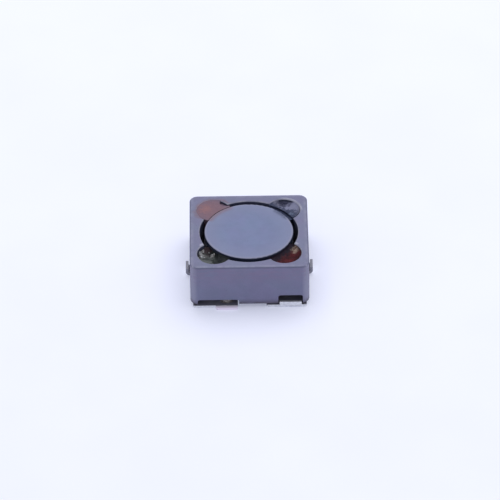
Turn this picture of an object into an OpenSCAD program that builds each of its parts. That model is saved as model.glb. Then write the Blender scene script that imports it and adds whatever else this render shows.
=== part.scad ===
// Shielded surface-mount power inductor: a ferrite drum wound with enamelled
// copper wire, standing inside a square ferrite shield core, on two tinned
// lead-frame terminals. Millimetres, +Z up. The origin is on the board, under
// the middle of the part. Front is -Y.

/* [Shield core] */
// Side of the square shield core
body_w = 6.5; // [6.4:0.1:8]
// Height of the shield core and of the drum core
core_h = 2.55; // [2.3:0.05:4]
// Plan radius of the four upright corners
corner_r = 0.45; // [0.2:0.05:0.6]
// Fillet round the top and bottom outer edges
edge_r = 0.1; // [0.04:0.01:0.15]
// Diameter of the four lobes spaced round the bore
lobe_d = 1.86; // [1.3:0.02:1.9]
// Chamfer at both ends of the bore and its lobes
rim_c = 0.05; // [0.02:0.01:0.1]
// Thickness of the wall between the bore and the middle of each side
side_wall = 0.54; // [0.48:0.02:0.7]

/* [Drum core] */
// Open gap between the flanges and the bore of the shield core
drum_gap = 0.27; // [0.15:0.01:0.3]
// Thickness of each flange
flange_t = 0.4; // [0.3:0.05:0.55]
// How far the flanges stand out from the post that carries the winding
flange_out = 1.09; // [0.9:0.01:1.3]
// Fillet on the rims of the flanges
flange_r = 0.07; // [0.03:0.01:0.12]
// Fillet where the post meets the flanges
root_r = 0.1; // [0.04:0.01:0.14]

/* [Winding] */
// Diameter of the wire over its enamel
wire_d = 0.27; // [0.2:0.01:0.3]
// Least space between one turn and the next
turn_gap = 0.01; // [0.01:0.005:0.03]
// Space between the wire and the core, or the solder round it
wire_gap = 0.02; // [0.01:0.005:0.04]
// Bearing at which the lead-in rises past the lower flange
lead_in_gate = 48; // [46:1:50]
// Bearing at which the lead-out turns down past the upper flange
lead_out_gate = 213; // [211:1:215]

/* [Terminals] */
// Thickness of the lead-frame strip
strip_t = 0.15; // [0.1:0.01:0.2]
// Gap between the two terminals
terminal_gap = 1.8; // [1.4:0.1:2.4]
// How far each sole stops short of the side of the shield core
sole_inset = 0.15; // [0.1:0.05:0.3]
// Inside radius of every bend in the strip
bend_r = 0.08; // [0.04:0.01:0.12]
// Plan radius of the corners of the sole and the toe
sole_r = 0.12; // [0.04:0.01:0.2]
// Width of the lip that turns up at one end of each terminal
lip_w = 1.2; // [0.8:0.02:1.3]
// Height of the lip above the board
lip_h = 0.4; // [0.3:0.02:0.6]
// How far the lip stands proud of the shield core
lip_out = 0.08; // [0.04:0.01:0.15]
// Distance from the lip to the outer edge of the sole
lip_inset = 0.28; // [0.2:0.01:0.4]
// Width of the toe at the other end, which holds the wire
toe_w = 1.2; // [1:0.05:1.3]
// How far the toe runs in under the shield core
toe_l = 2; // [1.2:0.1:2.6]
// How far the toe stands proud of the shield core
toe_out = 0.2; // [0.05:0.01:0.25]
// How far the toe reaches inboard of the sole
toe_step = 0.24; // [0:0.01:0.3]
// Width of the tab that turns up beside the middle of the side
tab_w = 0.74; // [0.5:0.02:1.6]
// Height of the tab above the board
tab_h = 0.44; // [0.3:0.02:0.7]
// How far the tab stands proud of the shield core
tab_out = 0.25; // [0.2:0.01:0.35]

/* [Slots in the shield core] */
// Height of the slot over each lip
lip_slot_h = 0.6; // [0.4:0.02:0.8]
// Height of the slot over each toe
toe_slot_h = 0.34; // [0.32:0.02:0.6]
// Room beside the lip and the toe in their slots
slot_side = 0.07; // [0.05:0.01:0.2]
// Fillet in the upper corners of the slots
slot_r = 0.12; // [0.05:0.01:0.15]

/* [Solder and adhesive] */
// Radius of the solder dome over each wire end
solder_r = 0.3; // [0.26:0.01:0.32]
// Height of the solder dome above its toe
solder_h = 0.34; // [0.33:0.01:0.36]
// Concave foot by which the solder spreads on the toe
solder_foot = 0.12; // [0.06:0.01:0.14]
// How far the solder stays back from the face of the shield core
solder_back = 0.18; // [0.06:0.02:0.2]
// How far each wire end reaches past the middle of its solder
wire_hold = 0.1; // [0:0.02:0.15]
// Thickness of the adhesive film between the cores and the terminals
bond_t = 0.05; // [0.03:0.01:0.08]
// How far each film stays inside its terminal and the edges of the cores
bond_inset = 0.1; // [0.05:0.01:0.2]
// How far down the adhesive in the lobes reaches below the top
fill_h = 0.95; // [0.6:0.05:1.2]
// Radius of the crown on the rear left adhesive, which is flush with the top
crown_r = 12; // [6:0.5:20]
// How far the rear right adhesive lies below the top
rear_sink = 0.08; // [0.04:0.02:0.2]
// How far the two front adhesives lie below the top
front_sink = 0.2; // [0.1:0.02:0.3]
// Depth of the dish in the three sunk adhesives
dish_h = 0.18; // [0.1:0.01:0.25]
// Radius of the dish in the three sunk adhesives
dish_r = 1.6; // [1.4:0.1:3]
// Open arc between the drum core and the rear right adhesive
groove_w = 0.2; // [0.1:0.01:0.24]
// Room left for the lead-out beside the front left adhesive
lead_room = 0.12; // [0.1:0.01:0.2]
// Hair space between the adhesive and the ferrite
fit_gap = 0.02; // [0.01:0.005:0.03]

/* [Hidden] */
$fn = 48;
eps = 0.01;

// Levels above the board
core_z = strip_t + bond_t;
top_z = core_z + core_h;
window_z = core_z + flange_t;
window_h = core_h - 2 * flange_t;

// Plan sizes of the cores
half_w = body_w / 2;
bore_r = half_w - side_wall;
drum_r = bore_r - drum_gap;
post_r = drum_r - flange_out;
lobe_r = lobe_d / 2;
lobe_c = bore_r * cos(45);
lobe_out = lobe_c + lobe_r;

// Terminal outline, for the terminal on the right
sole_in = terminal_gap / 2;
sole_out = half_w - sole_inset;
sole_x = (sole_in + sole_out) / 2;
lip_x = sole_out - lip_inset - lip_w / 2;
toe_x = sole_in - toe_step + toe_w / 2;

// The toe's slot runs from beside the toe to the outer side of the lobe
toe_slot_in = toe_x - toe_w / 2 - slot_side;
toe_slot_w = lobe_out - toe_slot_in;
toe_slot_x = toe_slot_in + toe_slot_w / 2;

// Winding: full layers that fit, an odd number so that the last one ends at the top
wire_r = wire_d / 2;
pitch_r = wire_d + turn_gap;
layer_fit = floor((flange_out - wire_gap) / pitch_r);
layers = max(1, layer_fit - (layer_fit + 1) % 2);
turns = floor((window_h - 2 * wire_gap - wire_d) / pitch_r);
pitch_z = (window_h - 2 * wire_gap - wire_d) / turns;
first_r = post_r + wire_gap + wire_r;
low_z = window_z + wire_gap + wire_r;
high_z = low_z + turns * pitch_z;
step_a = 15;
climb_a = 45;
end_z = strip_t + wire_gap + wire_r;
wire_sides = 8;

// ---- Plan shapes ----

module rounded_rect(w, h, r) {
    square([w - 2 * r, h], center = true);
    square([w, h - 2 * r], center = true);
    for (x = [-1, 1], y = [-1, 1])
        translate([x * (w / 2 - r), y * (h / 2 - r)]) circle(r);
}

module bore_outline(grow = 0) {
    circle(bore_r + grow);
    for (a = [45:90:315])
        rotate(a) translate([bore_r, 0]) circle(lobe_r + grow);
}

// ---- Cores ----

// Block with upright corners of corner_r and a fillet of edge_r at top and bottom
module shield_blank() {
    straight = body_w - 2 * corner_r;
    for (a = [0, 90])
        rotate([0, 0, a])
            rotate([90, 0, 0])
                linear_extrude(straight, center = true)
                    translate([0, core_h / 2])
                        rounded_rect(body_w, core_h, edge_r);
    for (x = [-1, 1], y = [-1, 1])
        translate([x * straight / 2, y * straight / 2, 0])
            rotate_extrude()
                intersection() {
                    translate([0, core_h / 2])
                        rounded_rect(2 * corner_r, core_h, edge_r);
                    square([corner_r, core_h]);
                }
}

// Chamfered mouth of the bore and its lobes
module bore_mouth() {
    big = rim_c + eps;
    translate([0, 0, -eps]) {
        cylinder(h = big, r1 = bore_r + big, r2 = bore_r);
        for (a = [45:90:315])
            rotate([0, 0, a]) translate([bore_r, 0, 0])
                cylinder(h = big, r1 = lobe_r + big, r2 = lobe_r);
    }
}

// Slot from the face of the shield core into a lobe, open at the bottom
module slot(x, w, h) {
    depth = half_w - lobe_c;
    translate([x, half_w + eps, 0])
        rotate([90, 0, 0])
            linear_extrude(depth + eps)
                intersection() {
                    rounded_rect(w, 2 * h, slot_r);
                    translate([-w, -eps]) square([2 * w, h + 2 * eps]);
                }
}

module shield_core() {
    color("slategray")
        translate([0, 0, core_z])
            difference() {
                shield_blank();
                translate([0, 0, -eps])
                    linear_extrude(core_h + 2 * eps) bore_outline();
                bore_mouth();
                translate([0, 0, core_h]) mirror([0, 0, 1]) bore_mouth();
                for (a = [0, 180])
                    rotate([0, 0, a]) {
                        slot(toe_slot_x, toe_slot_w, toe_slot_h);
                        slot(-lip_x, lip_w + 2 * slot_side, lip_slot_h);
                    }
            }
}

// Half section of one flange, with its rim rounded on both edges
module flange_section() {
    square([drum_r - flange_r, flange_t]);
    translate([0, flange_r]) square([drum_r, flange_t - 2 * flange_r]);
    for (z = [flange_r, flange_t - flange_r])
        translate([drum_r - flange_r, z]) circle(flange_r);
}

// Concave fillet between the post and the flange below it
module root_fillet() {
    difference() {
        square(root_r);
        translate([root_r, root_r]) circle(root_r);
    }
}

module drum_core() {
    color("lightslategray")
        translate([0, 0, core_z])
            rotate_extrude() {
                flange_section();
                translate([0, core_h - flange_t]) flange_section();
                square([post_r, core_h]);
                translate([post_r, flange_t]) root_fillet();
                translate([post_r, core_h - flange_t]) mirror([0, 1]) root_fillet();
            }
}

// ---- Winding: one wire, from the right terminal to the left one ----

function polar(r, a, z) = [r * cos(a), r * sin(a), z];
function heading(a) = [-sin(a), cos(a), 0];
function ease(t) = t * t * (3 - 2 * t);

function bezier(a, b, c, d, t) =
    pow(1 - t, 3) * a + 3 * pow(1 - t, 2) * t * b + 3 * (1 - t) * t * t * c + pow(t, 3) * d;

function bend(a, b, c, d, steps, from = 0) =
    [for (i = [from:steps]) bezier(a, b, c, d, i / steps)];

// Turns in a layer: the first layer is full, the others leave room for the lead below them
function layer_turns(k) = k == 0 ? turns : turns - 1;
function layer_start(k) =
    k == 0 ? lead_in_a : layer_start(k - 1) + 360 * layer_turns(k - 1) + climb_a;
function layer_r(k) = first_r + k * pitch_r;
function layer_z(k, t) =
    k == 0 ? low_z + t * pitch_z :
    k % 2 == 1 ? high_z - t * pitch_z : low_z + (1 + t) * pitch_z;

function layer_path(k) = [
    for (a = [0:step_a:360 * layer_turns(k)])
        polar(layer_r(k), layer_start(k) + a, layer_z(k, a / 360))
];

// The wire climbs from one layer to the next at the flange
function climb_path(k) = [
    for (a = [step_a:step_a:climb_a - step_a])
        polar(
            layer_r(k) + pitch_r * ease(a / climb_a),
            layer_start(k) + 360 * layer_turns(k) + a,
            layer_z(k, layer_turns(k)))
];

// Where the lead meets the first layer, and where the last layer lets go
lead_in_a = 105;
lead_out_a = layer_start(layers - 1) + 360 * layer_turns(layers - 1);

// Ends of the wire, on the toes: the right one at the back, the left one at the front
solder_y = half_w - solder_back - solder_foot - solder_r;
end_y = solder_y + wire_hold;
bend_y = solder_y - solder_r;

// How far and which way the wire runs on at each bend of the leads
toe_pull = [0, 0.25, 0];
gate_pull = [0.1, -0.6, 0];
loop_pull = [0.1, -0.5, 0];
post_pull = 0.8 * heading(lead_in_a);
turn_pull = 0.35 * heading(lead_out_a);

// Lead-in: off the right toe, up over the lower flange, in to the post
gate = polar(drum_r + wire_r + wire_gap, lead_in_gate, low_z);
join = polar(first_r, lead_in_a, low_z);
lead_in = concat(
    [[toe_x, end_y, end_z]],
    bend(
        [toe_x, bend_y, end_z], [toe_x, bend_y, end_z] - toe_pull,
        gate - gate_pull / 2, gate, 7),
    bend(gate, gate + gate_pull, join - post_pull, join, 16, 1));

// Lead-out: off the last turn, out into the front left lobe, down to the left toe
loop = polar(bore_r, lead_out_gate, high_z);
let_go = polar(layer_r(layers - 1), lead_out_a, high_z);
lead_out = concat(
    bend(let_go, let_go + turn_pull, loop - loop_pull, loop, 8, 1),
    bend(
        loop, loop + loop_pull,
        [-toe_x, -bend_y, end_z] + toe_pull, [-toe_x, -bend_y, end_z], 12, 1),
    [[-toe_x, -end_y, end_z]]);

wire_path = concat(
    lead_in,
    [for (k = [0:layers - 1])
        each concat(
            [for (i = [1:len(layer_path(k)) - 1]) layer_path(k)[i]],
            k < layers - 1 ? concat(climb_path(k), [layer_path(k + 1)[0]]) : [])],
    lead_out);

module sweep(path, r, sides) {
    last = len(path) - 1;
    along = [
        for (i = [0:last])
            let (d = path[min(i + 1, last)] - path[max(i - 1, 0)]) d / norm(d)
    ];
    across = [
        for (
            i = 0, u = cross(along[0], [0, 0, 1]);
            i <= last;
            i = i + 1, v = u - (u * along[min(i, last)]) * along[min(i, last)], u = v / norm(v))
            u
    ];
    points = [
        for (i = [0:last], k = [0:sides - 1])
            path[i] + r * (cos(360 * k / sides) * across[i]
                + sin(360 * k / sides) * cross(along[i], across[i]))
    ];
    walls = [
        for (i = [0:last - 1], k = [0:sides - 1])
            [i * sides + k, (i + 1) * sides + k,
                (i + 1) * sides + (k + 1) % sides, i * sides + (k + 1) % sides]
    ];
    caps = [
        [for (k = [0:sides - 1]) k],
        [for (k = [sides - 1:-1:0]) last * sides + k]
    ];
    polyhedron(points, concat(walls, caps), convexity = 10);
}

module winding() {
    color("firebrick") sweep(wire_path, wire_r, wire_sides);
}

// ---- Terminals ----

// Strip that runs out along +Y and turns up; the outside of the upright is at y = out
module turned_up(w, from, out, h) {
    outer = bend_r + strip_t;
    rotate([90, 0, 90])
        linear_extrude(w, center = true) {
            translate([from, 0]) square([out - outer - from, strip_t]);
            translate([out - strip_t, outer]) square([strip_t, h - outer]);
            translate([out - outer, outer])
                intersection() {
                    difference() {
                        circle(outer);
                        circle(bend_r);
                    }
                    translate([0, -outer]) square(outer);
                }
        }
}

// The terminal on the right: lip at the front, toe at the back, tab at the side
module terminal() {
    translate([sole_x, 0, 0])
        linear_extrude(strip_t) rounded_rect(sole_out - sole_in, body_w, sole_r);
    translate([toe_x, half_w + (toe_out - toe_l) / 2, 0])
        linear_extrude(strip_t) rounded_rect(toe_w, toe_l + toe_out, sole_r);
    translate([lip_x, 0, 0])
        rotate([0, 0, 180]) turned_up(lip_w, 0, half_w + lip_out, lip_h);
    rotate([0, 0, -90]) turned_up(tab_w, sole_x, half_w + tab_out, tab_h);
}

module terminal_right() {
    color("silver") terminal();
}

module terminal_left() {
    color("silver") rotate([0, 0, 180]) terminal();
}

// ---- Solder on the wire ends ----

// A dome over the wire end that spreads into a concave foot on the toe
module solder() {
    foot_r = solder_r + solder_foot;
    difference() {
        translate([toe_x, solder_y, strip_t])
            rotate_extrude()
                intersection() {
                    union() {
                        translate([0, solder_h - solder_r]) circle(solder_r);
                        difference() {
                            square([foot_r, solder_foot]);
                            translate([foot_r, solder_foot]) circle(solder_foot);
                        }
                    }
                    square(2 * foot_r);
                }
        translate([toe_x, end_y + wire_gap, end_z])
            rotate([90, 0, 0]) cylinder(h = 2 * foot_r, r = wire_r + wire_gap);
    }
}

module solder_right() {
    color("lightgray") solder();
}

module solder_left() {
    color("lightgray") rotate([0, 0, 180]) solder();
}

// ---- Adhesive in the four lobes, each drawn with its lobe on the +X axis ----

module lobe_plan() {
    difference() {
        translate([bore_r, 0]) circle(lobe_r - fit_gap);
        circle(drum_r + fit_gap);
    }
}

// Round bite into the edge of an adhesive, on the bearing a from the middle of the lobe
module bite(a, r, deep) {
    translate([bore_r, 0]) rotate(a) translate([lobe_r + r - deep, 0]) circle(r);
}

// Adhesive of the plan given as children, its top dished and lying sink below the top
module sunk_adhesive(sink) {
    difference() {
        translate([0, 0, top_z - fill_h])
            linear_extrude(fill_h - sink) children();
        translate([(drum_r + bore_r + lobe_r) / 2, 0, top_z - sink - dish_h + dish_r])
            sphere(dish_r);
    }
}

// Brown, flush and slightly crowned, wetting the chamfer round the lobe
module adhesive_back_left() {
    color("sienna")
        rotate([0, 0, 135])
            intersection() {
                difference() {
                    union() {
                        translate([0, 0, top_z - fill_h])
                            linear_extrude(fill_h + eps) lobe_plan();
                        translate([bore_r, 0, top_z - rim_c])
                            cylinder(
                                h = rim_c + eps,
                                r1 = lobe_r - fit_gap, r2 = lobe_r - fit_gap + rim_c + eps);
                    }
                    cylinder(h = top_z + 1, r = drum_r + fit_gap);
                    linear_extrude(top_z + 1) bite(a = -88, r = 0.3, deep = 0.3);
                }
                translate([bore_r, 0, top_z - crown_r]) sphere(crown_r, $fn = 96);
            }
}

// Grey, with an open arc beside the drum core and a bare patch at the far edge
module adhesive_back_right() {
    color("dimgray")
        rotate([0, 0, 45])
            sunk_adhesive(rear_sink)
                difference() {
                    lobe_plan();
                    translate([0, -groove_w / 2]) circle(drum_r + groove_w);
                    bite(a = 33, r = 0.7, deep = 0.27);
                }
}

// Dark, round the passage of the lead-out
module adhesive_front_left() {
    color("darkslategray")
        rotate([0, 0, 225])
            sunk_adhesive(front_sink)
                difference() {
                    lobe_plan();
                    bite(a = -90, r = 0.7, deep = lobe_r + lead_room);
                }
}

// Brown, across the whole lobe
module adhesive_front_right() {
    color("sienna")
        rotate([0, 0, 315])
            sunk_adhesive(front_sink) lobe_plan();
}

// ---- Adhesive films under the cores ----

// The film on the right: it covers the sole where a core stands over it
module bond() {
    color("tan")
        translate([0, 0, strip_t])
            linear_extrude(bond_t)
                difference() {
                    translate([sole_x, 0])
                        square(
                            [sole_out - sole_in - 2 * bond_inset, 2 * (lobe_c - 2 * bond_inset)],
                            center = true);
                    difference() {
                        bore_outline(bond_inset);
                        circle(drum_r - bond_inset);
                    }
                }
}

module bond_right() {
    bond();
}

module bond_left() {
    rotate([0, 0, 180]) bond();
}

drum_core();
shield_core();
winding();
terminal_left();
terminal_right();
solder_left();
solder_right();
adhesive_back_left();
adhesive_back_right();
adhesive_front_left();
adhesive_front_right();
bond_left();
bond_right();
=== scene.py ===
"""Finishes, fine surface detail, camera and light for the shielded inductor."""
import math

import bpy
from mathutils import Matrix, Vector, noise


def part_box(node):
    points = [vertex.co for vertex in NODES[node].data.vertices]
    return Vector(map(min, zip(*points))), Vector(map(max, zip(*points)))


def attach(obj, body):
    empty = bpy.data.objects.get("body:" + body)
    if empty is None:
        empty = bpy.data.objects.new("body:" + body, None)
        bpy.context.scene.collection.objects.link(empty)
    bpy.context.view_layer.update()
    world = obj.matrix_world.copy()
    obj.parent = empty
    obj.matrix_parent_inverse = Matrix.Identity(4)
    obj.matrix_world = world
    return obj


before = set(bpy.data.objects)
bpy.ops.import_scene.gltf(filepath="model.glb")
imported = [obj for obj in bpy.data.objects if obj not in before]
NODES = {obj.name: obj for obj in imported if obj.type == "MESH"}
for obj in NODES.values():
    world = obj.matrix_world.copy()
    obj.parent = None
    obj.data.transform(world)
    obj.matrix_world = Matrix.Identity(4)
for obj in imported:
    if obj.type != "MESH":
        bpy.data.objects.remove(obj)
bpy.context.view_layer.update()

MM = 0.001

# ---- Places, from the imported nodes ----

SHIELD_LOW, SHIELD_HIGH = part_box("shield_core")
HALF_W = SHIELD_HIGH.x
UNDERSIDE = SHIELD_LOW.z
TOP = SHIELD_HIGH.z
DRUM_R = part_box("drum_core")[1].x
STRIP_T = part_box("bond_left")[0].z
WIRE_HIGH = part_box("winding")[1].z
FILL_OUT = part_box("adhesive_front_right")[1].x

# Sizes that no box gives, as in the CAD: the ring gap, the chamfer round the openings, the wire
# and the gap round it, and the groove that the back right adhesive leaves along the drum
DRUM_GAP = 0.27 * MM
RIM_C = 0.05 * MM
WIRE_R = 0.135 * MM
WIRE_GAP = 0.02 * MM
GROOVE_W = 0.2 * MM

# The lead-out: its bearing in the front left lobe, and its place in plan over the toe
LEAD_BEARING = 213
LEAD_TOE = (-1.26 * MM, -2.35 * MM)

# The lobes lie on the bore, on these bearings; an adhesive fills its lobe to the radius LOBE_R
BACK_RIGHT, BACK_LEFT, FRONT_LEFT, FRONT_RIGHT = 45, 135, 225, 315
BORE_R = DRUM_R + DRUM_GAP
LOBE_C = BORE_R * math.cos(math.radians(BACK_RIGHT))
LOBE_R = FILL_OUT - LOBE_C


# ---- Shader building ----

# Most values of the noise node lie between these two
NOISE_LOW, NOISE_HIGH = 0.3, 0.7


def scaled(tone, share):
    """A tone made darker, or lighter where share is over 1."""
    return tuple(part * share for part in tone[:3]) + (1.0,)


class Shader:
    """A node material with one Principled shader, built by short calls."""

    def __init__(self, name):
        self.material = bpy.data.materials.new(name)
        self.material.use_nodes = True
        self.nodes = self.material.node_tree.nodes
        self.links = self.material.node_tree.links
        self.surface = self.nodes["Principled BSDF"]
        coordinates = self.nodes.new("ShaderNodeTexCoord")
        self.place = coordinates.outputs["Object"]
        self.x, self.y, self.z = self.split(self.place)
        self.facing_x, self.facing_y, self.facing_z = self.split(coordinates.outputs["Normal"])

    def split(self, vector):
        """The three parts of a vector output."""
        node = self.nodes.new("ShaderNodeSeparateXYZ")
        self.links.new(vector, node.inputs[0])
        return node.outputs

    def set(self, **values):
        """Constant inputs of the Principled shader; an underscore stands for a space."""
        for name, value in values.items():
            self.surface.inputs[name.replace("_", " ")].default_value = value

    def give(self, name, value):
        """Links an output to one input of the Principled shader."""
        self.links.new(value, self.surface.inputs[name])

    def join(self, value, socket):
        """Links an output to a socket, or sets the socket to a constant."""
        if isinstance(value, bpy.types.NodeSocket):
            self.links.new(value, socket)
        else:
            socket.default_value = value

    def math(self, operation, first, second=0.0):
        """One Math node. Both values are outputs or numbers."""
        node = self.nodes.new("ShaderNodeMath")
        node.operation = operation
        self.join(first, node.inputs[0])
        self.join(second, node.inputs[1])
        return node.outputs[0]

    def times(self, first, *others):
        """The product, which for masks is where all of them hold."""
        for other in others:
            first = self.math("MULTIPLY", first, other)
        return first

    def either(self, first, *others):
        """The largest, which for masks is where any of them holds."""
        for other in others:
            first = self.math("MAXIMUM", first, other)
        return first

    def size(self, value):
        """The value without its sign."""
        return self.math("ABSOLUTE", value)

    def length(self, x, y):
        """Distance in plan from the origin to the point x, y."""
        return self.math("SQRT", self.math("ADD", self.times(x, x), self.times(y, y)))

    def away(self, x, y):
        """Distance in plan from the point x, y."""
        return self.length(self.math("SUBTRACT", self.x, x), self.math("SUBTRACT", self.y, y))

    def half_side(self):
        """Half the side of the square round the middle that the place lies on, in plan."""
        return self.either(self.size(self.x), self.size(self.y))

    def remap(self, value, low, high, to_low=0.0, to_high=1.0):
        """Value from low to high becomes to_low to to_high, smoothly and no further."""
        node = self.nodes.new("ShaderNodeMapRange")
        node.interpolation_type = "SMOOTHSTEP"
        for name, number in zip(("From Min", "From Max", "To Min", "To Max"),
                                (low, high, to_low, to_high)):
            node.inputs[name].default_value = number
        self.links.new(value, node.inputs["Value"])
        return node.outputs["Result"]

    def between(self, mask, low, high):
        """Low where the mask is 0 and high where it is 1."""
        return self.remap(mask, 0, 1, low, high)

    def above(self, value, level, soft):
        """1 where value is over level, 0 where it is under, blurred over soft."""
        return self.remap(value, level - soft / 2, level + soft / 2)

    def below(self, value, level, soft):
        """1 where value is under level, 0 where it is over, blurred over soft."""
        return self.remap(value, level - soft / 2, level + soft / 2, 1.0, 0.0)

    def noise(self, size, detail=3.0, rough=0.6, stretch=(1, 1, 1)):
        """Noise from 0 to 1 whose features are about size metres across."""
        turn = self.nodes.new("ShaderNodeMapping")
        turn.inputs["Scale"].default_value = stretch
        self.links.new(self.place, turn.inputs["Vector"])
        node = self.nodes.new("ShaderNodeTexNoise")
        node.inputs["Scale"].default_value = 1 / size
        node.inputs["Detail"].default_value = detail
        node.inputs["Roughness"].default_value = rough
        self.links.new(turn.outputs["Vector"], node.inputs["Vector"])
        return self.remap(node.outputs["Fac"], NOISE_LOW, NOISE_HIGH)

    def cells(self, size):
        """Distance to the nearest of random points about size metres apart, in those sizes."""
        node = self.nodes.new("ShaderNodeTexVoronoi")
        node.inputs["Scale"].default_value = 1 / size
        self.links.new(self.place, node.inputs["Vector"])
        return node.outputs["Distance"]

    def spot(self, x, y, radius, soft, ragged, bays=0.15 * MM):
        """
        1 within radius of the point x, y in plan, blurred over soft. Its outline wanders over the
        width ragged, in bays of that size.
        """
        edge = self.math("ADD", self.away(x, y), self.times(self.noise(bays), ragged))
        return self.below(edge, radius + ragged / 2, soft)

    def mix(self, amount, first, second):
        """Colour that goes from first to second as amount goes from 0 to 1."""
        node = self.nodes.new("ShaderNodeMix")
        node.data_type = "RGBA"
        socket = {s.identifier: s for s in node.inputs}
        self.join(amount, socket["Factor_Float"])
        self.join(first, socket["A_Color"])
        self.join(second, socket["B_Color"])
        return {s.identifier: s for s in node.outputs}["Result_Color"]

    def bump(self, height, depth, strength):
        """Bump from a height of 0 to 1 that stands for depth metres. Calls add up."""
        node = self.nodes.new("ShaderNodeBump")
        node.inputs["Strength"].default_value = strength
        node.inputs["Distance"].default_value = depth
        self.links.new(height, node.inputs["Height"])
        before = self.surface.inputs["Normal"].links
        if before:
            self.links.new(before[0].from_socket, node.inputs["Normal"])
        self.give("Normal", node.outputs["Normal"])


# ---- Ferrite ----

SHIELD_TONE = (0.178, 0.180, 0.302, 1)
DRUM_TONE = (0.175, 0.216, 0.386, 1)
DRUM_EDGE_TONE = (0.212, 0.228, 0.362, 1)
# Tones of painted shade: in the ring gap and on the top edge's turn, on the walls inside, and
# lighter deep inside
SHADE_TONE = (0.017, 0.024, 0.055, 1)
WALL_SHADE_TONE = (0.062, 0.071, 0.130, 1)
DEEP_SHADE_TONE = (0.16, 0.16, 0.25, 1)
STREAK_TONE = (0.20, 0.16, 0.27, 1)
# Painted shade along the foot
FOOT_SHADE_TONE = (0.064, 0.052, 0.070, 1)
# Tones of painted highlight: along the edges and corners, on the chamfers round the openings, and
# in spots and an arc on the top
EDGE_HIGHLIGHT_TONE = (0.29, 0.29, 0.40, 1)
CHAMFER_HIGHLIGHT_TONE = (0.38, 0.38, 0.47, 1)
SPOT_HIGHLIGHT_TONE = (0.40, 0.40, 0.50, 1)
GREEN_CAST = (0.15, 0.215, 0.30, 1)
PURPLE_CAST = (0.21, 0.165, 0.32, 1)
BROWN_STAIN = (0.20, 0.10, 0.12, 1)
SMEAR_AND_SHADE_TONE = (0.06, 0.075, 0.15, 1)


def ferrite(s, tone, grain):
    """Sintered ferrite: fine grain, broad mottling and small pits. Returns its colour."""
    broad = s.noise(0.8 * MM, detail=2)
    fine = s.noise(grain, detail=4, rough=0.7)
    color = s.mix(broad, scaled(tone, 0.93), scaled(tone, 1.07))
    cast = s.mix(s.noise(1.3 * MM, detail=2), GREEN_CAST, PURPLE_CAST)
    color = s.mix(0.22, color, cast)
    color = s.mix(s.times(fine, 0.5), color, scaled(tone, 0.78))
    pits = s.below(s.cells(0.2 * MM), 0.10, 0.05)
    color = s.mix(s.times(pits, 0.5), color, scaled(tone, 0.4))
    s.give("Roughness", s.between(fine, 0.48, 0.62))
    s.bump(fine, depth=0.004 * MM, strength=0.7)
    s.bump(s.math("SUBTRACT", 1.0, pits), depth=0.008 * MM, strength=0.5)
    return color


def brown_stain(s):
    """Where the back left adhesive has wetted the ferrite round its lobe."""
    wetted = s.spot(
        -LOBE_C, LOBE_C, LOBE_R + 0.12 * MM, soft=0.4 * MM, ragged=0.2 * MM, bays=0.4 * MM)
    return s.times(wetted, 0.7)


def cusp_highlights(s):
    """Painted highlights where the bore meets the two front lobes."""
    cusp = math.radians(45) - 2 * math.asin(LOBE_R / (2 * BORE_R))
    out = BORE_R + 0.06 * MM
    x, y = out * math.cos(cusp), -out * math.sin(cusp)
    spots = (s.spot(side * x, y, 0.17 * MM, soft=0.15 * MM, ragged=0.1 * MM) for side in (-1, 1))
    return s.times(s.either(*spots), 0.85)


def arc_highlight(s):
    """A patchy painted highlight in an arc outside the back right lobe, on the corner's side."""
    far = s.away(LOBE_C, LOBE_C)
    from_lobe = s.above(far, LOBE_R + 0.03 * MM, 0.06 * MM)
    to_corner = s.below(far, LOBE_R + 0.14 * MM, 0.1 * MM)
    outer = s.above(s.math("ADD", s.x, s.y), 2 * LOBE_C + 0.9 * MM, 0.6 * MM)
    patchy = s.between(s.noise(0.3 * MM, detail=2), 0.2, 0.7)
    return s.times(from_lobe, to_corner, outer, patchy)


def shield_top(s, color):
    """The brown stain, painted highlights at the cusps and by the back right lobe, and a painted
    highlight along the border of the top.
    """
    top = s.above(s.z, TOP - 0.02 * MM, 0.02 * MM)
    color = s.mix(s.times(top, brown_stain(s)), color, BROWN_STAIN)
    near_top = s.above(s.z, TOP - 0.06 * MM, 0.04 * MM)
    # Painted highlights at the cusps and in an arc by the back right lobe
    spot_highlights = s.either(cusp_highlights(s), arc_highlight(s))
    color = s.mix(s.times(spot_highlights, near_top), color, SPOT_HIGHLIGHT_TONE)
    # Patchy painted highlight along the border of the top, behind its rounded edge
    border = s.above(s.half_side(), HALF_W - 0.2 * MM, 0.2 * MM)
    patchy = s.noise(0.5 * MM, detail=2)
    return s.mix(s.times(top, border, patchy, 0.5), color, EDGE_HIGHLIGHT_TONE)


def shield_edges(s, color):
    """Painted highlights on the chamfer round the openings and on the corners, and painted shade on
    the turn of the top edge.
    """
    sloping = s.times(s.above(s.facing_z, 0.25, 0.2), s.below(s.facing_z, 0.93, 0.06))
    turn_in, soft = HALF_W - 0.12 * MM, 0.04 * MM
    openings = s.times(sloping, s.below(s.half_side(), turn_in, soft))
    # Patchy painted highlight on the chamfer round the openings
    chamfer_highlight = s.between(s.noise(0.5 * MM, detail=2), 0.4, 1.0)
    color = s.mix(s.times(openings, chamfer_highlight), color, CHAMFER_HIGHLIGHT_TONE)
    # Painted shade on the turn of the outer top edge
    turn = s.times(sloping, s.above(s.half_side(), turn_in, soft))
    color = s.mix(s.times(turn, 0.3), color, SHADE_TONE)
    # Painted highlight down the rounded corners
    corner = s.above(s.size(s.times(s.facing_x, s.facing_y)), 0.28, 0.44)
    return s.mix(s.times(corner, 0.6), color, EDGE_HIGHLIGHT_TONE)


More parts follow.
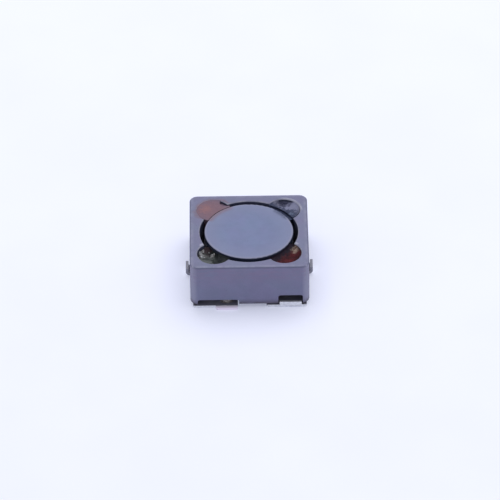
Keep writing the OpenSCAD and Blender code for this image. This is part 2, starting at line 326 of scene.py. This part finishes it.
def shield_inside(s, color):
    """Painted shade on the walls of the bore and the lobes, and lighter painted shade in the slots
    and underside.
    """
    inside = s.below(s.half_side(), HALF_W - 0.2 * MM, 0.05 * MM)
    deep = s.below(s.z, TOP - 0.05 * MM, 0.03 * MM)
    # Painted shade on the walls inside, under the chamfer
    color = s.mix(s.times(inside, deep), color, WALL_SHADE_TONE)
    low = s.below(s.z, UNDERSIDE + 0.6 * MM, 0.2 * MM)
    # Lighter painted shade low down inside the shield
    return s.mix(s.times(inside, low), color, DEEP_SHADE_TONE)


def shield_sides(s, color):
    """Purplish streaks along the upper part of the sides, and streaky painted shade along the foot.
    """
    edge = s.above(s.half_side(), HALF_W - 0.1 * MM, 0.1 * MM)
    outside = s.times(edge, s.below(s.facing_z, 0.4, 0.2))
    streaks = s.noise(0.5 * MM, stretch=(1, 1, 5))
    upper = s.above(s.z, TOP - 1.0 * MM, 0.8 * MM)
    color = s.mix(s.times(outside, upper, s.between(streaks, 0.1, 0.6)), color, STREAK_TONE)
    # Painted shade along the foot, darker in streaks
    foot = s.below(s.z, UNDERSIDE + 0.2 * MM, 0.45 * MM)
    return s.mix(s.times(foot, s.between(streaks, 0.6, 0.95)), color, FOOT_SHADE_TONE)


def shield_ferrite():
    s = Shader("shield_ferrite")
    color = ferrite(s, SHIELD_TONE, grain=0.03 * MM)
    for zone in (shield_top, shield_edges, shield_inside, shield_sides):
        color = zone(s, color)
    s.give("Base Color", color)
    return s.material


def drum_ferrite():
    """Ground flat on top, with faint grinding lines; painted shade down the side of the flange."""
    s = Shader("drum_ferrite")
    color = ferrite(s, DRUM_TONE, grain=0.025 * MM)
    grinding = s.noise(0.05 * MM, detail=2, rough=0.5, stretch=(1, 14, 1))
    s.bump(grinding, depth=0.0015 * MM, strength=0.5)
    plan = s.length(s.x, s.y)
    color = s.mix(s.times(s.above(plan, 1.8 * MM, 1.4 * MM), 0.6), color, DRUM_EDGE_TONE)
    # Painted highlight round the rim of the drum's top
    color = s.mix(s.times(s.above(plan, DRUM_R - 0.1 * MM, 0.1 * MM), 0.6), color, EDGE_HIGHLIGHT_TONE)
    stained = s.above(plan, DRUM_R - 0.25 * MM, 0.3 * MM)
    color = s.mix(s.times(stained, brown_stain(s), 0.8), color, BROWN_STAIN)
    # Adhesive wiped onto the drum's rim by the back right lobe, widened as painted shade along the
    # gap there
    smear_and_shade = s.spot(0.80 * DRUM_R, 0.68 * DRUM_R, 0.55 * MM, soft=0.4 * MM, ragged=0.3 * MM)
    smeared_and_shaded = s.times(smear_and_shade, s.above(plan, DRUM_R - 0.24 * MM, 0.24 * MM))
    color = s.mix(s.times(smeared_and_shaded, 0.85), color, SMEAR_AND_SHADE_TONE)
    # Painted shade down the side of the flange, in the ring gap
    color = s.mix(s.below(s.z, TOP - 0.035 * MM, 0.03 * MM), color, SHADE_TONE)
    # Lighter painted shade on the drum's lower part, deep inside
    color = s.mix(s.below(s.z, TOP - 0.5 * MM, 0.1 * MM), color, DEEP_SHADE_TONE)
    s.give("Base Color", color)
    return s.material


# ---- Metals ----

# Each pair is the dark and the light of a mottled finish
ENAMEL_TONES = (0.22, 0.022, 0.014, 1), (0.34, 0.05, 0.03, 1)
LEAD_TONES = (0.16, 0.16, 0.14, 1), (0.62, 0.62, 0.58, 1)
PLATE_TONES = (0.66, 0.67, 0.70, 1), (0.86, 0.87, 0.90, 1)
SOLDER_TONES = (0.50, 0.50, 0.52, 1), (0.78, 0.78, 0.80, 1)
DULL_TONES = (0.12, 0.13, 0.14, 1), (0.46, 0.48, 0.50, 1)

TOE_TINT = (0.92, 0.82, 0.97, 1)
# Painted shade on the tab edges and on the strip under the cores
TAB_SHADE_TONE = (0.16, 0.155, 0.21, 1)
SHADED_TONE = (0.15, 0.145, 0.20, 1)
FLUX_TONE = (0.12, 0.06, 0.025, 1)
TAN_TONE = (0.17, 0.13, 0.11, 1)


def enamelled_copper():
    """Dark red enamel over copper, tinned where the leads stand out from the turns."""
    s = Shader("enamelled_copper")
    outside_turns = 2.3 * MM
    enamel = s.mix(s.noise(0.25 * MM, detail=2), *ENAMEL_TONES)
    lead = s.above(s.length(s.x, s.y), outside_turns, 0.08 * MM)
    tin = s.mix(s.noise(0.08 * MM), *LEAD_TONES)
    s.give("Base Color", s.mix(lead, enamel, tin))
    s.give("Metallic", s.between(lead, 0.3, 0.95))
    s.give("Roughness", s.between(s.noise(0.06 * MM), 0.22, 0.42))
    s.set(Coat_Weight=0.5, Coat_Roughness=0.15)
    s.bump(s.noise(0.05 * MM), depth=0.003 * MM, strength=0.6)
    return s.material


def tinned_strip():
    """Matte tin plate, with painted shade on the edges of the tabs and on the strip under the
    cores, and a pinkish tint on the toes.
    """
    s = Shader("tinned_strip")
    mottle = s.noise(0.12 * MM, detail=4, rough=0.65)
    within = s.below(s.half_side(), HALF_W - 0.02 * MM, 0.03 * MM)
    # Painted shade where the strip lies under the cores
    under = s.times(within, s.above(s.z, 0.1 * MM, 0.06 * MM))
    outside = s.above(s.size(s.x), HALF_W, 0.02 * MM)
    # Painted shade on the outer edges of the tabs
    tab_edge_shade = s.times(outside, s.below(s.size(s.facing_x), 0.5, 0.1))
    # One toe lies at the front left and the other at the back right, where x times y is over 0
    toe_quarters = s.above(s.times(s.x, s.y), 0.0, 0.001 * MM * MM)
    toe = s.times(toe_quarters, s.above(s.size(s.y), HALF_W + 0.02 * MM, 0.03 * MM))
    color = s.mix(mottle, *PLATE_TONES)
    color = s.mix(s.times(toe, 0.9), color, TOE_TINT)
    color = s.mix(s.times(tab_edge_shade, 0.8), color, TAB_SHADE_TONE)
    color = s.mix(s.times(under, 0.92), color, SHADED_TONE)
    s.give("Base Color", color)
    s.give("Metallic", s.between(s.either(under, toe, s.times(tab_edge_shade, 0.6)), 0.85, 0.1))
    s.give("Roughness", s.math("ADD", s.between(mottle, 0.38, 0.55), s.times(toe, 0.3)))
    s.bump(s.noise(0.03 * MM, detail=4), depth=0.002 * MM, strength=0.5)
    return s.material


def solder():
    """Solder with a frosted, rippled skin under amber flux, which is thicker in patches, and darker
    under the cores as painted shade.
    """
    s = Shader("solder")
    frost = s.noise(0.09 * MM, detail=4, rough=0.7)
    # Flux colour under the cores: painted shade
    shade_under_cores = s.below(s.half_side(), HALF_W - 0.05 * MM, 0.1 * MM)
    patches = s.above(s.noise(0.22 * MM, detail=2), 0.72, 0.2)
    flux = s.either(patches, s.times(shade_under_cores, 0.8))
    s.give("Base Color", s.mix(s.times(flux, 0.7), s.mix(frost, *SOLDER_TONES), FLUX_TONE))
    s.give("Metallic", s.between(flux, 1.0, 0.3))
    s.give("Roughness", s.between(frost, 0.18, 0.36))
    s.bump(s.noise(0.2 * MM, detail=2), depth=0.012 * MM, strength=0.6)
    return s.material


def dull_tin():
    """Tin that flux and resin have dulled: grey and tan, part metal."""
    s = Shader("dull_tin")
    patch = s.noise(0.10 * MM, rough=0.7)
    tan = s.times(s.noise(0.25 * MM, detail=2), 0.5)
    s.give("Base Color", s.mix(tan, s.mix(patch, *DULL_TONES), TAN_TONE))
    s.give("Metallic", s.between(patch, 0.2, 0.7))
    s.give("Roughness", s.between(patch, 0.6, 0.42))
    s.bump(s.noise(0.08 * MM), depth=0.01 * MM, strength=0.6)
    return s.material


# ---- Adhesives ----

# The drum's axis in plan, for the painted shade that rings the drum
AXIS = (0, 0)


def epoxy(name, dark, light, rough, shine=0.5, stains_and_painted_light=()):
    """
    Filled epoxy: two tones in soft patches, fine grain and shallow lumps. Each stain or patch of
    painted light is a place in plan, a radius and a blur in mm, a tone and a strength.
    """
    s = Shader(name)
    patch = s.noise(0.5 * MM)
    speck = s.noise(0.03 * MM, rough=0.7)
    color = s.mix(patch, dark, light)
    color = s.mix(s.times(speck, 0.35), color, scaled(dark, 0.6))
    for (x, y), radius, soft, tone, strength in stains_and_painted_light:
        mask = s.spot(x, y, radius * MM, soft * MM, ragged=0.25 * MM)
        color = s.mix(s.times(mask, strength), color, tone)
    s.give("Base Color", color)
    s.give("Roughness", s.between(speck, rough, rough + 0.2))
    s.set(Specular_IOR_Level=shine)
    s.bump(s.noise(0.2 * MM), depth=0.02 * MM, strength=0.7)
    s.bump(speck, depth=0.004 * MM, strength=0.6)
    return s.material


def beside(side_x, side_y, dx, dy):
    """A point in plan dx and dy, in mm, from the centre of the lobe on those sides."""
    return side_x * LOBE_C + dx * MM, side_y * LOBE_C + dy * MM


def clear_epoxy():
    return epoxy("clear_epoxy", (0.36, 0.30, 0.22, 1), (0.5, 0.44, 0.34, 1), rough=0.3)


def brown_epoxy():
    """Salmon in the middle of its lobe, and warmer still on the outer side."""
    salmon, warm = (0.205, 0.11, 0.14, 1), (0.27, 0.13, 0.14, 1)
    return epoxy(
        "brown_epoxy", (0.15, 0.105, 0.16, 1), (0.20, 0.13, 0.18, 1), rough=0.6, stains_and_painted_light=[
            (beside(-1, 1, -0.15, 0.0), 0.75, 0.6, salmon, 0.75),
            (beside(-1, 1, -0.45, 0.1), 0.28, 0.5, warm, 0.8)])


def grey_epoxy():
    """Pale near the corner, with painted shade along the drum and at the back end, dark at the
    front end, and one fleck in front.
    """
    pale, fleck = (0.21, 0.215, 0.33, 1), (0.12, 0.15, 0.24, 1)
    shade_by_drum, shade_by_back = (0.030, 0.040, 0.090, 1), (0.020, 0.022, 0.056, 1)
    by_front = (0.028, 0.038, 0.085, 1)
    return epoxy(
        "grey_epoxy", (0.12, 0.12, 0.18, 1), (0.17, 0.17, 0.25, 1), rough=0.5, shine=0.3, stains_and_painted_light=[
            (beside(1, 1, 0.3, 0.3), 0.6, 0.4, pale, 0.85),
            # Painted shade along the groove by the drum
            (AXIS, 2.95, 0.35, shade_by_drum, 0.95),
            # Painted shade under the back rim
            (beside(1, 1, 0.06, 0.82), 0.38, 0.32, shade_by_back, 0.95),
            (beside(1, 1, 0.36, -0.30), 0.42, 0.3, by_front, 0.9),
            (beside(1, 1, 0.40, -0.26), 0.09, 0.15, fleck, 0.8)])


def red_epoxy():
    """Dark red, with painted shade, nearly black, along the drum and at both ends, and a painted
    highlight in tan behind.
    """
    black, inner_shade, tan = (0.010, 0.008, 0.018, 1), (0.013, 0.006, 0.014, 1), (0.34, 0.26, 0.21, 1)
    return epoxy(
        "red_epoxy", (0.028, 0.005, 0.009, 1), (0.11, 0.012, 0.018, 1), rough=0.45, shine=0.12,
        stains_and_painted_light=[
            # Painted shade along the drum
            (AXIS, 2.74, 0.35, black, 0.95),
            # Painted shade at the front end
            (beside(1, -1, -0.75, -0.2), 0.5, 0.4, inner_shade, 0.95),
            # Painted highlight, in tan, where the epoxy climbs the wall behind
            (beside(1, -1, 0.62, 0.36), 0.16, 0.3, tan, 0.8),
            # Painted shade along the rim at the back end
            (beside(1, -1, 0.98, 0.42), 0.22, 0.2, black, 0.9)])


def dark_epoxy():
    """Nearly black, greyed by tin on the outer side and reddish at the back."""
    grey, dim_grey = (0.14, 0.15, 0.15, 1), (0.12, 0.12, 0.12, 1)
    black, reddish = (0.012, 0.012, 0.020, 1), (0.03, 0.012, 0.018, 1)
    return epoxy(
        "dark_epoxy", (0.006, 0.008, 0.011, 1), (0.022, 0.028, 0.025, 1), rough=0.45, shine=0.2,
        stains_and_painted_light=[
            (beside(-1, -1, -0.5, -0.35), 0.42, 0.3, grey, 0.8),
            (beside(-1, -1, -0.6, 0.2), 0.22, 0.2, dim_grey, 0.8),
            (beside(-1, -1, -1.05, 0.15), 0.25, 0.2, black, 0.9),
            (beside(-1, -1, -0.42, 0.7), 0.3, 0.3, reddish, 0.8)])


# ---- Pieces ----

def add_piece(name, points, faces, material):
    """Makes a smooth mesh object that rides on the part."""
    mesh = bpy.data.meshes.new(name)
    mesh.from_pydata(points, [], faces)
    mesh.polygons.foreach_set("use_smooth", [True] * len(mesh.polygons))
    mesh.materials.append(material)
    piece = bpy.data.objects.new(name, mesh)
    bpy.context.collection.objects.link(piece)
    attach(piece, "root")


def fan(tip, first, count):
    """Triangles from one point to a ring of count points, given by its first point."""
    return [(tip, first + k, first + (k + 1) % count) for k in range(count)]


def band(first, second, count):
    """Faces that join two rings of count points, each given by its first point."""
    return [(first + k, second + k, second + (k + 1) % count, first + (k + 1) % count)
            for k in range(count)]


def lumpy(place, falloff):
    """Noise, mostly from -1 to 1, whose finer lumps are the weaker the higher falloff is."""
    finer, octaves = 2.0, 3
    return noise.fractal(place, falloff, finer, octaves)


# ---- Surfaces of the adhesives, drawn with the lobe on +X and then turned to its bearing ----

# A skin stays this far under the top, and this far inside the adhesive's outline
SKIN_GAP = 0.004 * MM
# A cut in a skin is this much wider than the CAD's
CUT_GAP = 0.01 * MM
LOBE_MIDDLE = Vector((BORE_R, 0))
SKIN_MIDDLE = Vector((BORE_R + 0.25 * MM, 0))
DRUM_CUT = (Vector((0, 0)), DRUM_R + CUT_GAP)
GROOVE_CUT = (Vector((0, -GROOVE_W / 2)), DRUM_R + GROOVE_W + CUT_GAP)


def bite(bearing, radius, deep):
    """A round bite into the edge of an adhesive, on that bearing from the middle of its lobe."""
    way = Vector((math.cos(math.radians(bearing)), math.sin(math.radians(bearing))))
    return LOBE_MIDDLE + way * (LOBE_R + radius - deep), radius + CUT_GAP


def crossings(start, way, circle):
    """How far along a ray it enters and leaves a circle, or None where it misses."""
    centre, radius = circle
    off = start - centre
    along = off.dot(way)
    inside = along * along - off.dot(off) + radius * radius
    if inside < 0:
        return None
    return -along - math.sqrt(inside), -along + math.sqrt(inside)


def reach(start, way, lobe, cuts):
    """How far a ray runs in plan before it leaves the lobe's circle or meets a cut's circle."""
    far = crossings(start, way, lobe)[1]
    for cut in cuts:
        hit = crossings(start, way, cut)
        if hit and 0 < hit[0] < far:
            far = hit[0]
    return far


def skin(name, bearing, cuts, height, material, middle=SKIN_MIDDLE, edge=-SKIN_GAP):
    """
    A thin closed skin that is the top of an adhesive, drawn round the point middle to its cuts and
    to the lobe's outline moved out by edge. height gives z from the share of the way to the
    outline and the place in plan.
    """
    rings, spokes, thick = 22, 120, 0.03 * MM
    lobe = (LOBE_MIDDLE, LOBE_R + edge)
    turn = Matrix.Rotation(math.radians(bearing), 4, "Z")
    points = []
    for ring in range(rings + 1):
        share = math.sin(math.pi / 2 * ring / rings)
        for spoke in range(spokes if ring else 1):
            angle = 2 * math.pi * spoke / spokes
            way = Vector((math.cos(angle), math.sin(angle)))
            spot = middle + way * share * reach(middle, way, lobe, cuts)
            points.append(turn @ Vector((spot.x, spot.y, height(share, spot))))
    faces = fan(0, 1, spokes)
    for ring in range(rings - 1):
        first = 1 + ring * spokes
        faces += band(first, first + spokes, spokes)
    under = len(points)
    points += [point - Vector((0, 0, thick)) for point in points]
    faces += [tuple(under + k for k in reversed(face)) for face in faces]
    faces += band(under - spokes, 2 * under - spokes, spokes)
    add_piece(name, points, faces, material)


def lumps(spot, size, seed):
    """Lumpy noise over the plan, with lumps about size across."""
    return lumpy(Vector((spot.x / size, spot.y / size, seed)), 0.8)


def sunk(depth, dish, rise, lump, seed, lean=0.0, side=1):
    """
    A surface that lies depth below the top, dished, climbing to the walls, with soft lumps. lean
    raises it outwards and, where side is 1, to one side of the lobe.
    """
    def height(share, spot):
        bowl = -depth - dish * (1 - share ** 2) + rise * share ** 6
        bowl += lean * (spot.x - BORE_R + side * spot.y) / LOBE_R
        z = bowl + lump * lumps(spot, 0.35 * MM, seed) * (1 - 0.5 * share)
        return TOP + min(z, -SKIN_GAP)
    return height


def flush(share, spot):
    """A surface just under the top that fills the chamfer round its lobe."""
    swell, least = 0.012 * MM, 0.003 * MM
    z = -swell * (1 - share ** 4) + swell * lumps(spot, 0.4 * MM, seed=3)
    return TOP + min(z, -least * (1 + share))


def back_left_surfaces(brown):
    """Flush with the top, but for a bite at the right end, which has a shallow bed."""
    skin(
        "surface_back_left", BACK_LEFT, [DRUM_CUT, bite(-88, 0.3 * MM, 0.3 * MM)], flush,
        brown, edge=RIM_C)
    skin(
        "bed_back_left", BACK_LEFT, [DRUM_CUT],
        sunk(depth=0.16 * MM, dish=0.02 * MM, rise=0.0, lump=0.03 * MM, seed=31),
        brown)


def back_right_surfaces(grey):
    """A little sunk, with a lower bed in the groove along the drum and in the bite at the back."""
    skin(
        "bed_back_right", BACK_RIGHT, [DRUM_CUT],
        sunk(depth=0.13 * MM, dish=0.03 * MM, rise=0.0, lump=0.02 * MM, seed=37),
        grey)
    skin(
        "surface_back_right", BACK_RIGHT,
        [DRUM_CUT, GROOVE_CUT, bite(33, 0.7 * MM, 0.27 * MM)],
        sunk(depth=0.07 * MM, dish=0.12 * MM, rise=0.05 * MM, lump=0.02 * MM, seed=11),
        grey)


def front_right_surface(red):
    """Sunk and dished, higher at its outer and back side."""
    skin(
        "surface_front_right", FRONT_RIGHT, [DRUM_CUT],
        sunk(depth=0.19 * MM, dish=0.12 * MM, rise=0.09 * MM, lump=0.05 * MM, seed=5,
             lean=0.05 * MM),
        red)


def front_left_surfaces(dark, tin):
    """Sunk resin on one side, and a deeper bed round the lead-out with islands of tin in it."""
    beside_bite = Vector((BORE_R + 0.2 * MM, 0.45 * MM))
    skin(
        "surface_front_left", FRONT_LEFT,
        [DRUM_CUT, bite(-90, 0.7 * MM, LOBE_R + 0.12 * MM)],
        sunk(depth=0.19 * MM, dish=0.08 * MM, rise=0.06 * MM, lump=0.06 * MM, seed=8),
        dark, middle=beside_bite)
    skin(
        "surface_lead_out", FRONT_LEFT, [DRUM_CUT],
        sunk(depth=0.36 * MM, dish=0.06 * MM, rise=0.14 * MM, lump=0.08 * MM, seed=21),
        dark)
    skin(
        "tin_islands", FRONT_LEFT, [DRUM_CUT],
        sunk(depth=0.42 * MM, dish=0.02 * MM, rise=0.10 * MM, lump=0.26 * MM, seed=77,
             lean=0.09 * MM, side=0),
        tin, edge=-0.03 * MM)


# ---- Tin on the lead-out ----

def bezier(a, b, c, d, t):
    return (1 - t) ** 3 * a + 3 * (1 - t) ** 2 * t * b + 3 * (1 - t) * t * t * c + t ** 3 * d


def lead_out(t):
    """The lead-out, from the loop beside the upper flange down to the toe, as in the CAD."""
    bearing = math.radians(LEAD_BEARING)
    loop = Vector((BORE_R * math.cos(bearing), BORE_R * math.sin(bearing), WIRE_HIGH - WIRE_R))
    toe = Vector((*LEAD_TOE, STRIP_T + WIRE_GAP + WIRE_R))
    loop_pull, toe_pull = Vector((0.1, -0.5, 0)) * MM, Vector((0, 0.25, 0)) * MM
    return bezier(loop, loop + loop_pull, toe + toe_pull, toe, t)


def tin_sleeve(tin):
    """A closed rough rod along the upper part of the lead-out, drawn in to a point at its ends."""
    tinned, steps, sides, nudge = 0.62, 60, 20, 0.01
    rough, lump_size = 0.05 * MM, 0.16 * MM
    points = [lead_out(0)]
    for step in range(1, steps):
        t = step / steps
        here = lead_out(tinned * t)
        ahead, behind = lead_out(tinned * (t + nudge)), lead_out(tinned * (t - nudge))
        along = (ahead - behind).normalized()
        across = along.cross(Vector((0, 0, 1))).normalized()
        up = across.cross(along)
        close = math.sin(math.pi * t) ** 0.3
        for side in range(sides):
            angle = 2 * math.pi * side / sides
            way = across * math.cos(angle) + up * math.sin(angle)
            lump = max(0.0, 0.2 + lumpy((here + way * WIRE_R) / lump_size, 0.7))
            points.append(here + way * (WIRE_R + rough * lump) * close)
    points.append(lead_out(tinned))
    last = len(points) - 1
    faces = fan(0, 1, sides)
    for step in range(steps - 2):
        first = 1 + step * sides
        faces += band(first, first + sides, sides)
    faces += [tuple(reversed(face)) for face in fan(last, last - sides, sides)]
    add_piece("tin_sleeve", points, faces, tin)


# ---- The part's finish ----

def paint(node, material):
    """Gives a CAD node its finish."""
    for slot in NODES[node].material_slots:
        slot.material = material


def paint_rigid_nodes():
    paint("shield_core", shield_ferrite())
    paint("drum_core", drum_ferrite())
    paint("winding", enamelled_copper())
    for kind, material in (
            ("terminal", tinned_strip()), ("solder", solder()), ("bond", clear_epoxy())):
        paint(kind + "_left", material)
        paint(kind + "_right", material)


def fill_lobes():
    """The finish of the four adhesives, their uneven surfaces, and the tin in one of them."""
    brown, grey, red, dark, tin = brown_epoxy(), grey_epoxy(), red_epoxy(), dark_epoxy(), dull_tin()
    paint("adhesive_back_left", brown)
    paint("adhesive_back_right", grey)
    paint("adhesive_front_right", red)
    paint("adhesive_front_left", dark)
    back_left_surfaces(brown)
    back_right_surfaces(grey)
    front_right_surface(red)
    front_left_surfaces(dark, tin)
    tin_sleeve(tin)


def round_wire():
    """A modifier on the winding that welds and rounds the eight-sided wire and shades it smooth."""
    tree = bpy.data.node_groups.new("round_wire", "GeometryNodeTree")
    for direction in ("INPUT", "OUTPUT"):
        tree.interface.new_socket(
            "Geometry", in_out=direction, socket_type="NodeSocketGeometry")
    start = tree.nodes.new("NodeGroupInput")
    weld = tree.nodes.new("GeometryNodeMergeByDistance")
    weld.inputs["Distance"].default_value = 0.0005 * MM
    split = tree.nodes.new("GeometryNodeSubdivisionSurface")
    split.inputs["Level"].default_value = 1
    shade = tree.nodes.new("GeometryNodeSetShadeSmooth")
    end = tree.nodes.new("NodeGroupOutput")
    for first, second in zip((start, weld, split, shade), (weld, split, shade, end)):
        tree.links.new(first.outputs[0], second.inputs[0])
    modifier = NODES["winding"].modifiers.new("round_wire", "NODES")
    modifier.node_group = tree


# ---- Stage, light and camera ----

def floor():
    """A plain pale floor that glows a little, as a lit table does."""
    bpy.ops.mesh.primitive_plane_add(size=0.8, location=(0, 0, 0))
    plane = bpy.context.object
    plane.name = "floor"
    s = Shader("floor")
    tones = (0.68, 0.685, 0.75, 1), (0.70, 0.705, 0.77, 1)
    s.give("Base Color", s.mix(s.noise(8 * MM, detail=2), *tones))
    s.set(
        Roughness=0.8, Specular_IOR_Level=0.1,
        Emission_Color=(0.74, 0.785, 1.0, 1), Emission_Strength=0.34)
    plane.data.materials.append(s.material)


def sky():
    """Even light from all round."""
    world = bpy.data.worlds.new("studio")
    world.use_nodes = True
    background = world.node_tree.nodes["Background"]
    background.inputs["Color"].default_value = (0.92, 0.94, 1.0, 1)
    background.inputs["Strength"].default_value = 0.6
    bpy.context.scene.world = world


def key_light():
    """A broad soft light above and behind, turned towards the part."""
    data = bpy.data.lights.new("key", "AREA")
    data.shape = "SQUARE"
    data.size = 0.30
    data.energy = 0.44
    data.color = (0.96, 0.97, 1.0)
    light = bpy.data.objects.new("key", data)
    light.location = (0.02, 0.10, 0.24)
    light.rotation_euler = light.location.to_track_quat("Z", "Y").to_euler()
    bpy.context.collection.objects.link(light)


def camera():
    """A long lens, in front of the part and above it, aimed just over the middle of its foot."""
    yaw, elevation, roll = map(math.radians, (-0.31, 38.01, -0.64))
    distance, rise, shift = 229.5 * MM, 0.966 * MM, 0.039 * MM
    back = Vector((math.sin(yaw) * math.cos(elevation),
                   -math.cos(yaw) * math.cos(elevation),
                   math.sin(elevation)))
    level = (-back).cross(Vector((0, 0, 1))).normalized()
    upright = level.cross(-back)
    right = level * math.cos(roll) + upright * math.sin(roll)
    up = upright * math.cos(roll) - level * math.sin(roll)
    data = bpy.data.cameras.new("camera")
    data.sensor_width = 36
    data.lens = 299.4
    data.clip_start = 0.01
    data.clip_end = 10
    cam = bpy.data.objects.new("camera", data)
    place = Vector((0, 0, UNDERSIDE)) + back * distance + up * rise + right * shift
    cam.matrix_world = Matrix.Translation(place) @ Matrix((right, up, back)).transposed().to_4x4()
    bpy.context.collection.objects.link(cam)
    bpy.context.scene.camera = cam
    bpy.context.scene.view_settings.view_transform = "Standard"


paint_rigid_nodes()
fill_lobes()
round_wire()
floor()
sky()
key_light()
camera()
